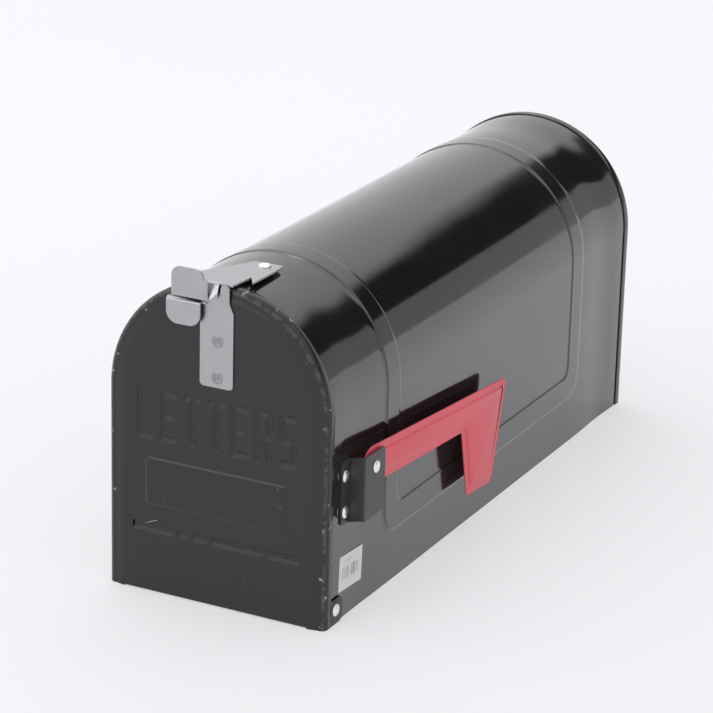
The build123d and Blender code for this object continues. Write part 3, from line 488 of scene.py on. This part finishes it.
def relief(x, z):
    """How far the door's middle stands out at a point, sunk strokes being negative."""
    sunk = 0.0
    for (x0, z0), (x1, z1), half_width in strokes:
        run_x, run_z = x1 - x0, z1 - z0
        along = ((x - x0) * run_x + (z - z0) * run_z) / max(run_x ** 2 + run_z ** 2, 1e-9)
        along = min(1.0, max(0.0, along))
        off = math.hypot(x - x0 - along * run_x, z - z0 - along * run_z)
        sunk = max(sunk, smooth((half_width + WALL / 2 - off) / WALL))
    reach = max(0.0, abs(x) - PLATE["half"] + PLATE["corner"])
    rise_z = max(0.0, z - PLATE["high"] + PLATE["corner"], PLATE["low"] + PLATE["corner"] - z)
    raised = smooth((PLATE["corner"] - math.hypot(reach, rise_z)) / WALL)
    return RAISED * raised - SUNK * sunk


# grid lines lie close together at the edges of strokes and of the plate
columns_x, rows_z = [-FIELD_HALF, FIELD_HALF], [FIELD_LOW, FIELD_HIGH]
for (x0, z0), (x1, z1), half_width in strokes:
    for near in (half_width - WALL / 2, half_width, half_width + WALL / 2):
        columns_x += [v for x in (x0, x1) for v in (x - near, x + near)]
        rows_z += [v for z in (z0, z1) for v in (z - near, z + near)]
for near in (0.0, WALL / 2, WALL, PLATE["corner"]):
    columns_x += [side * (PLATE["half"] - near) for side in (-1, 1)]
    rows_z += [PLATE["low"] + near, PLATE["high"] - near]
columns_x = fill_between([round(v, 1) for v in columns_x if abs(v) <= FIELD_HALF], FIELD_GAP)
rows_z = fill_between([round(v, 1) for v in rows_z], FIELD_GAP)

flange_edge = DOOR_FACE_Y + DOOR_LAP
slope = [(SLOPE_OUT + (SLOPE_IN - SLOPE_OUT) * i / 8, DOOR_RAISE * (1 - (1 - i / 8) ** SLOPE_EASE))
         for i in range(9)]
door_profile = [(DOOR_RADIUS - inset, DOOR_FACE_Y + DOOR_SHEET - out) for inset, out in reversed(slope)]
door_profile += [(r, 2 * (DOOR_FACE_Y + DOOR_BEND) - y) for r, y in
                 reversed(quarter(DOOR_RADIUS - DOOR_BEND, DOOR_FACE_Y + DOOR_BEND,
                                  DOOR_BEND - DOOR_SHEET))]
door_profile += [(DOOR_RADIUS - DOOR_SHEET, flange_edge - 0.2),
                 (DOOR_RADIUS - DOOR_SHEET + 0.2, flange_edge),
                 (DOOR_RADIUS - 0.2, flange_edge), (DOOR_RADIUS, flange_edge - 0.2)]
door_profile += [(r, 2 * (DOOR_FACE_Y + DOOR_BEND) - y) for r, y in
                 quarter(DOOR_RADIUS - DOOR_BEND, DOOR_FACE_Y + DOOR_BEND, DOOR_BEND)]
door_profile += [(DOOR_RADIUS - inset, DOOR_FACE_Y - out) for inset, out in slope]
door_stations = arch_stations(legs(FOOT_Z, DOOR_BOTTOM_Z))
door_points, door_faces = over_arch(door_profile, door_stations)

for depth in (0.0, DOOR_SHEET):
    start = len(door_points)
    door_points += [(x, FIELD_Y + depth - relief(x, z), z) for z in rows_z for x in columns_x]
    wide = len(columns_x)
    door_faces += [(start + r * wide + c, start + r * wide + c + 1,
                    start + (r + 1) * wide + c + 1, start + (r + 1) * wide + c)
                   for r in range(len(rows_z) - 1) for c in range(wide - 1)]
    field_radius = DOOR_RADIUS - SLOPE_IN
    outer_ring = [(out_x * field_radius, z + out_z * field_radius)
                  for out_x, out_z, z in door_stations[1:-1]]
    inner_ring = [(x, rows_z[0]) for x in columns_x] + [(columns_x[-1], z) for z in rows_z[1:]]
    inner_ring += [(x, rows_z[-1]) for x in reversed(columns_x[:-1])]
    inner_ring += [(columns_x[0], z) for z in reversed(rows_z[1:-1])]
    ring = bmesh.new()
    ring_edges = []
    for loop in (outer_ring, inner_ring):
        corners = [ring.verts.new((x, FIELD_Y + depth, z)) for x, z in loop]
        ring_edges += [ring.edges.new(pair) for pair in zip(corners, corners[1:] + corners[:1])]
    bmesh.ops.triangle_fill(ring, use_beauty=True, use_dissolve=False, edges=ring_edges)
    ring.verts.index_update()
    start = len(door_points)
    door_points += [tuple(v.co) for v in ring.verts]
    door_faces += [tuple(start + v.index for v in f.verts) for f in ring.faces]
    ring.free()
# edge along the bottom, with the lip turned in under it
bottom = [(-field_radius, FIELD_Y), (field_radius, FIELD_Y),
          (field_radius, FIELD_Y + DOOR_SHEET), (-field_radius, FIELD_Y + DOOR_SHEET)]
start = len(door_points)
door_points += [(x, y, DOOR_BOTTOM_Z) for x, y in bottom]
door_faces.append((start, start + 1, start + 2, start + 3))


def door_wear_and_highlight(place):
    """Chips and a lighter line round the rolled edge, and one short scratch near the foot; the line is
    partly rubbed paint and partly a painted highlight.
    """
    across, height = (place.node("SeparateXYZ", {}, {0: place}, out=axis) for axis in "XZ")
    above = (height - ARCH_Z * MM).maths("MAXIMUM", 0.0)
    reach = (across * across + above * above).maths("SQRT")
    knock = place.node("TexNoise", {}, {"Vector": place, "Scale": 190.0, "Detail": 2.0})
    chips = knock.ramp(0.672, 0.69) * reach.ramp(0.0775, 0.080)
    # lighter colour along the rolled edge: partly rubbed paint, partly a painted highlight of the bend
    rubbed_and_highlight = (knock.ramp(0.38, 0.60) * reach.ramp(0.0802, 0.0812)
              * reach.ramp(0.0822, 0.0832, 1.0, 0.0))
    run = across - SCRATCH_X * MM
    off = height - SCRATCH_Z * MM - run * SCRATCH_SLOPE
    scratch = ((off * off).ramp(0.02 * MM * MM, 0.10 * MM * MM, 1.0, 0.0)
               * (run * run).ramp(20.0 * MM * MM, 30.0 * MM * MM, 1.0, 0.0))
    return (chips + scratch) * 1.5 + rubbed_and_highlight * 0.16


door_enamel = enamel("door enamel", (0.015, 0.015, 0.016), 0.22, ripple=0.02, speck=0.8,
                     index=1.5, lacquer=0.0, wear_and_highlight=door_wear_and_highlight)
door = mesh_piece("door", door_points, door_faces, "door", door_enamel, ["door_panel"],
                  sharp=50.0)


def rounded_outline(corners, inset=0.0, arc_steps=6):
    """Closed outline from (u, v, radius) corners taken anticlockwise, drawn in by an inset."""
    outline = []
    for i, (u, v, radius) in enumerate(corners):
        here = Vector((u, v))
        before = (here - Vector(corners[i - 1][:2])).normalized()
        after = (Vector(corners[(i + 1) % len(corners)][:2]) - here).normalized()
        inward, next_inward = Vector((-before.y, before.x)), Vector((-after.y, after.x))
        corner = here + (inward + next_inward) * (inset / (1 + inward.dot(next_inward)))
        outside = 1 if before.cross(after) > 0 else -1
        bend = max(radius - inset, 0.25) if outside > 0 else radius + inset
        turn = before.angle(after)
        start = corner - before * bend * math.tan(turn / 2)
        centre = start + inward * bend * outside
        for k in range(arc_steps + 1):
            swung = Matrix.Rotation(outside * turn * k / arc_steps, 2) @ (start - centre)
            outline.append(tuple(centre + swung))
    return outline


def pressed_sheet(corners, rings, place):
    """Points and faces of a sheet whose outline steps through rings of (inset, height)."""
    points = [place(u, v, height) for inset, height in rings for u, v in rounded_outline(corners, inset)]
    count = len(points) // len(rings)
    faces = [(r * count + c, r * count + (c + 1) % count,
              (r + 1) * count + (c + 1) % count, (r + 1) * count + c)
             for r in range(len(rings) - 1) for c in range(count)]
    faces.append(tuple(range(count)))
    faces.append(tuple(range(len(points) - count, len(points))))
    return points, faces


def flat_rings(thickness, edge=0.2):
    """Rings of a plain sheet with its edges just broken."""
    return [(edge, 0.0), (0.0, edge), (0.0, thickness - edge), (edge, thickness)]


ear_corners = [(flange_edge - 0.6, FOOT_Z, 0.3), (EAR_BACK_Y, FOOT_Z, EAR_CORNER),
               (EAR_BACK_Y, EAR_TOP_Z, EAR_CORNER), (flange_edge - 0.6, EAR_TOP_Z, 0.3)]
for side, name in ((-1, "left"), (1, "right")):
    ear_points, ear_faces = pressed_sheet(
        ear_corners, flat_rings(DOOR_SHEET, 0.15),
        lambda y, z, h: (side * (DOOR_RADIUS - DOOR_SHEET + h), y, z))
    mesh_piece("hinge_ear_" + name, ear_points, ear_faces, "door", door_enamel)
lip_corners = [(-LIP_HALF, FIELD_Y + DOOR_SHEET / 2, 0.3), (LIP_HALF, FIELD_Y + DOOR_SHEET / 2, 0.3),
               (LIP_HALF, FIELD_Y + LIP_DEPTH, 2.5), (-LIP_HALF, FIELD_Y + LIP_DEPTH, 2.5)]
lip_points, lip_faces = pressed_sheet(lip_corners, flat_rings(DOOR_SHEET, 0.15),
                                      lambda x, y, h: (x, y, DOOR_BOTTOM_Z + h))
mesh_piece("bottom_lip", lip_points, lip_faces, "door", door_enamel)

# --- rivets -----------------------------------------------------------------------------
# Bright aluminium rivets with low domed heads, each with a shank through the sheets and a
# flat closed head behind them. They hold the hinges, the bracket, the flag and the latch.
RIVET_HEAD, RIVET_DOME, RIVET_BRIM, RIVET_SHANK = 8.8, 2.0, 0.4, 4.8
SHOP_HEAD, SHOP_HEIGHT = 7.6, 1.4
rivet_metal, rivet_coat = finish("rivet aluminium", Metallic=1.0)
rivet_place = rivet_coat.node("TexCoord", out="Object")
rivet_cloud = rivet_coat.node("TexNoise", {}, {"Vector": rivet_place, "Scale": 260.0, "Detail": 3.0})
rivet_dents = rivet_coat.node("TexVoronoi", {}, {"Vector": rivet_place, "Scale": 900.0})
feed(rivet_coat,
     Base_Color=rivet_cloud.blend((0.86, 0.86, 0.87), (0.95, 0.95, 0.95)),
     Roughness=rivet_cloud.ramp(0.3, 0.7, 0.24, 0.40),
     Normal=rivet_coat.node("Bump", {}, {"Strength": 0.3, "Distance": 0.02 * MM,
                                         "Height": rivet_cloud + rivet_dents * 0.4}))


def turned(profile, spot, axis, steps=40):
    """Points and faces of a profile of (radius, height) turned about an axis at a spot."""
    axis = Vector(axis)
    first = Vector((0, 0, 1)) if abs(axis.z) < 0.5 else Vector((1, 0, 0))
    second = axis.cross(first)
    points = [tuple(Vector(spot) + axis * h + first * (r * math.cos(2 * math.pi * k / steps))
                    + second * (r * math.sin(2 * math.pi * k / steps)))
              for r, h in profile for k in range(steps)]
    faces = [(p * steps + k, p * steps + (k + 1) % steps,
              (p + 1) * steps + (k + 1) % steps, (p + 1) * steps + k)
             for p in range(len(profile) - 1) for k in range(steps)]
    return points, faces


def rivet_profile(depth):
    """Domed head over a seat at height 0, shank and shop head below; depth is the full length."""
    dome = [(RIVET_HEAD / 2 * math.sin(t), RIVET_BRIM + (RIVET_DOME - RIVET_BRIM) * math.cos(t))
            for t in (math.pi / 2 * i / 9 for i in range(10))]
    grip = depth - RIVET_DOME - SHOP_HEIGHT
    return dome + [(RIVET_HEAD / 2 - 0.1, 0.0), (RIVET_SHANK / 2, 0.0), (RIVET_SHANK / 2, -grip),
                   (SHOP_HEAD / 2, -grip), (SHOP_HEAD / 2, -grip - SHOP_HEIGHT + 0.3),
                   (SHOP_HEAD / 2 - 0.3, -grip - SHOP_HEIGHT), (0.0, -grip - SHOP_HEIGHT)]


def rivets(node, body, axis, spots=1):
    """Domed rivets along an axis in place of a CAD node, spaced over its height."""
    low, high = (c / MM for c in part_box(node))
    axis = Vector(axis)
    depth = abs((high - low).dot(axis))
    outer = high if sum(axis) > 0 else low
    seat = (low + high) / 2
    seat += axis * ((outer - seat).dot(axis) - RIVET_DOME)
    for k in range(spots):
        spot = seat.copy()
        if spots > 1:
            spot.z = low.z + RIVET_HEAD / 2 + (high.z - low.z - RIVET_HEAD) * k / (spots - 1)
        points, faces = turned(rivet_profile(depth), spot, axis)
        piece = mesh_piece(node + "_%d" % (k + 1), points, faces, body, rivet_metal, [node])


rivets("hinge_rivet_right", "box", (1, 0, 0))
rivets("hinge_rivet_left", "box", (-1, 0, 0))
rivets("bracket_rivets", "box", (1, 0, 0), spots=2)
rivets("flag_rivet", "box", (1, 0, 0))
rivets("latch_rivet", "latch", (0, 0, 1))

# --- door catch and latch spring ------------------------------------------------------------
# Bent strips of bright zinc-coated steel, cut and folded: the strap with its pull on the
# door, and the spring strip with its thumb tab on the shell. CAD shapes with a zinc finish.
ZINC_DULL, ZINC_BRIGHT = (0.40, 0.40, 0.405), (0.47, 0.47, 0.48)
zinc, zinc_coat = finish("zinc sheet", Metallic=1.0)
zinc_place = zinc_coat.node("TexCoord", out="Object")
spangle = zinc_coat.node("TexVoronoi", {}, {"Vector": zinc_place, "Scale": 340.0}, out="Color")
spangle_shade = zinc_coat.node("SeparateColor", {}, {0: spangle}, out=0)
zinc_cloud = zinc_coat.node("TexNoise", {}, {"Vector": zinc_place, "Scale": 60.0, "Detail": 4.0})
zinc_stretch = zinc_coat.node("Mapping", {}, {"Vector": zinc_place, "Scale": (1.0, 1.0, 12.0)})
brushed = zinc_coat.node("TexNoise", {}, {"Vector": zinc_stretch, "Scale": 700.0, "Detail": 2.0})
scuff = brushed.ramp(0.62, 0.74)
feed(zinc_coat,
     Base_Color=(zinc_cloud * 0.7 + spangle_shade * 0.3).blend(ZINC_DULL, ZINC_BRIGHT),
     Roughness=zinc_cloud.ramp(0.3, 0.7, 0.26, 0.36) + scuff * 0.12,
     Normal=zinc_coat.node("Bump", {}, {"Strength": 0.2, "Distance": 0.015 * MM,
                                        "Height": zinc_cloud + brushed * 0.3}))
for node_name in ("door_catch", "latch_spring"):
    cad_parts[node_name].data.materials[0] = zinc

# --- catch rivets -----------------------------------------------------------------------------
# Two solid steel rivets that hold the strap to the door, their heads pressed hollow by the
# setting punch and left dull and dark in the dish.
DISH, DISH_RISE, DISH_DEPTH = 3.2, 0.5, 1.1
DISH_GRIP, DISH_TAIL = 1.6, 3.4
dish_steel, dish_coat = finish("dished rivet steel", Metallic=1.0)
dish_place = dish_coat.node("TexCoord", out="Object")
dish_cloud = dish_coat.node("TexNoise", {}, {"Vector": dish_place, "Scale": 500.0, "Detail": 3.0})
feed(dish_coat,
     Base_Color=dish_cloud.blend((0.20, 0.20, 0.205), (0.42, 0.42, 0.43)),
     Roughness=dish_cloud.ramp(0.3, 0.7, 0.28, 0.42))
dished_low, dished_high = (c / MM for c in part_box("catch_rivets"))
dished_profile = [(0.0, DISH_RISE - DISH_DEPTH), (DISH - 1.4, DISH_RISE - DISH_DEPTH),
                  (DISH - 0.6, DISH_RISE - DISH_DEPTH * 0.75), (DISH - 0.1, DISH_RISE - 0.12),
                  (DISH + 0.15, DISH_RISE), (DISH + 0.45, DISH_RISE - 0.05),
                  (RIVET_HEAD / 2 - 0.3, 0.16),
                  (RIVET_HEAD / 2, 0.02), (RIVET_HEAD / 2 - 0.1, -0.03),
                  (RIVET_SHANK / 2, -0.03), (RIVET_SHANK / 2, -DISH_GRIP),
                  (SHOP_HEAD / 2, -DISH_GRIP - 0.4), (SHOP_HEAD / 2, 0.2 - DISH_TAIL),
                  (0.0, -DISH_TAIL)]
dish_heights = (dished_low.z + RIVET_HEAD / 2, dished_high.z - RIVET_HEAD / 2)
for k, dish_z in enumerate(dish_heights):
    spot = ((dished_low.x + dished_high.x) / 2, dished_low.y + DISH_RISE, dish_z)
    points, faces = turned(dished_profile, spot, (0, -1, 0))
    dished = mesh_piece("catch_rivet_%d" % (k + 1), points, faces, "door", dish_steel,
                        ["catch_rivets"])

# --- flag bracket -----------------------------------------------------------------------------
# Bent steel strip that stands the flag off the side, held by two rivets and painted black
# with the body. It keeps its CAD shape and takes a duller enamel.
bracket_enamel = enamel("bracket enamel", (0.040, 0.040, 0.042), 0.38, index=1.5, lacquer=0.0)
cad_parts["flag_bracket"].data.materials[0] = bracket_enamel

# --- flag ---------------------------------------------------------------------------------------
# Arm and blade in one piece of pressed steel, the middle raised from a plain border and
# dished at the back. Red enamel. It turns on one rivet in the bracket.
FLAG_SHEET, FLAG_DISH, FLAG_BORDER = 1.0, 1.1, 5.2
FLAG_HEEL, FLAG_LENGTH, FLAG_DROOP = 14.0, 211.0, math.radians(4.9)
flag_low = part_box("flag")[0] / MM
flag_pin_low, flag_pin_high = (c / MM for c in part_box("flag_rivet"))
flag_pivot = (flag_pin_low + flag_pin_high) / 2
flag_corners = [(-FLAG_HEEL, -FLAG_HEEL, FLAG_HEEL - 0.2), (141.2, -11.3, 2.5), (157.6, -62.2, 1.8),
                (195.5, -62.2, 3.0), (199.6, -57.6, 2.5), (FLAG_LENGTH, 2.5, 2.0),
                (FLAG_LENGTH, 11.4, 1.5), (FLAG_LENGTH - 2.6, FLAG_HEEL, 1.5),
                (-FLAG_HEEL, FLAG_HEEL, FLAG_HEEL - 0.2)]
flag_rings = [(FLAG_BORDER + 2.0, FLAG_DISH), (FLAG_BORDER + 1.6, FLAG_DISH - 0.08),
              (FLAG_BORDER + 0.5, 0.08), (FLAG_BORDER, 0.0), (0.3, 0.0), (0.0, 0.3),
              (0.0, FLAG_SHEET - 0.3), (0.3, FLAG_SHEET), (FLAG_BORDER - 0.3, FLAG_SHEET),
              (FLAG_BORDER + 0.1, FLAG_SHEET + 0.08), (FLAG_BORDER + 1.3, FLAG_SHEET + FLAG_DISH - 0.08),
              (FLAG_BORDER + 1.7, FLAG_SHEET + FLAG_DISH)]


def on_flag(u, v, height):
    return (flag_low.x + height,
            flag_pivot.y + u * math.cos(FLAG_DROOP) + v * math.sin(FLAG_DROOP),
            flag_pivot.z - u * math.sin(FLAG_DROOP) + v * math.cos(FLAG_DROOP))


flag_points, flag_faces = pressed_sheet(flag_corners, flag_rings, on_flag)
flag_enamel = enamel("flag enamel", (0.72, 0.078, 0.105), 0.30, speck=0.3, index=1.45, lacquer=0.0)
flag = mesh_piece("flag_blade", flag_points, flag_faces, "flag", flag_enamel, ["flag"], sharp=35.0)

# --- price label ------------------------------------------------------------------------------------
# Gummed paper label stuck on the lower front corner of the side, a little askew, printed
# with plain grey bars and lines.
LABEL_LENGTH, LABEL_HEIGHT, LABEL_TILT = 33.2, 25.3, math.radians(-2.9)
LABEL_SHEET, LABEL_EDGE, LABEL_CORNER = 0.12, 0.03, 1.1
BARS_PER_METRE, LINES_PER_METRE = 1500.0, 900.0
label_low, label_high = (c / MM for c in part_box("price_label"))
label_middle = (label_low + label_high) / 2
label_corners = [(side_u * LABEL_LENGTH / 2, side_v * LABEL_HEIGHT / 2, LABEL_CORNER)
                 for side_u, side_v in ((-1, -1), (1, -1), (1, 1), (-1, 1))]


def on_label(u, v, height):
    return (label_low.x + height,
            label_middle.y + u * math.cos(LABEL_TILT) - v * math.sin(LABEL_TILT),
            label_middle.z + u * math.sin(LABEL_TILT) + v * math.cos(LABEL_TILT))


label_points, label_faces = pressed_sheet(label_corners, flat_rings(LABEL_SHEET, LABEL_EDGE), on_label)
paper, paper_coat = finish("label paper", Roughness=0.62, Specular_IOR_Level=0.35)
paper_place = paper_coat.node("TexCoord", out="Object")
paper_y, paper_z = (paper_coat.node("SeparateXYZ", {}, {0: paper_place}, out=axis) for axis in "YZ")
off_y, off_z = paper_y - label_middle.y * MM, paper_z - label_middle.z * MM
label_u = off_y * math.cos(LABEL_TILT) + off_z * math.sin(LABEL_TILT)
label_v = off_z * math.cos(LABEL_TILT) - off_y * math.sin(LABEL_TILT)


def between(signal, low, high, soft=0.15):
    """1 where a signal in millimetres lies between two levels."""
    return (signal.ramp((low - soft) * MM, (low + soft) * MM)
            * signal.ramp((high - soft) * MM, (high + soft) * MM, 1.0, 0.0))


bar = paper_coat.node("TexWhiteNoise", {"noise_dimensions": "1D"},
                      {"W": (label_u * BARS_PER_METRE).maths("FLOOR")}, out="Value")
bars = bar.ramp(0.5, 0.54) * between(label_u, -12.0, 11.5) * between(label_v, -5.0, 4.0)
lines = (label_v * LINES_PER_METRE).maths("FRACT").ramp(0.45, 0.55)
lines *= between(label_u, -9.5, 1.5) * between(label_v, 5.6, 9.0)
fibre = paper_coat.node("TexNoise", {}, {"Vector": paper_place, "Scale": 1400.0, "Detail": 3.0})
feed(paper_coat,
     Base_Color=(bars * 0.62 + lines * 0.3).blend(
         fibre.blend((0.66, 0.655, 0.635), (0.72, 0.715, 0.70)), (0.16, 0.15, 0.16)),
     Normal=paper_coat.node("Bump", {}, {"Strength": 0.2, "Distance": 0.01 * MM, "Height": fibre}))
label = mesh_piece("label", label_points, label_faces, "box", paper, ["price_label"])
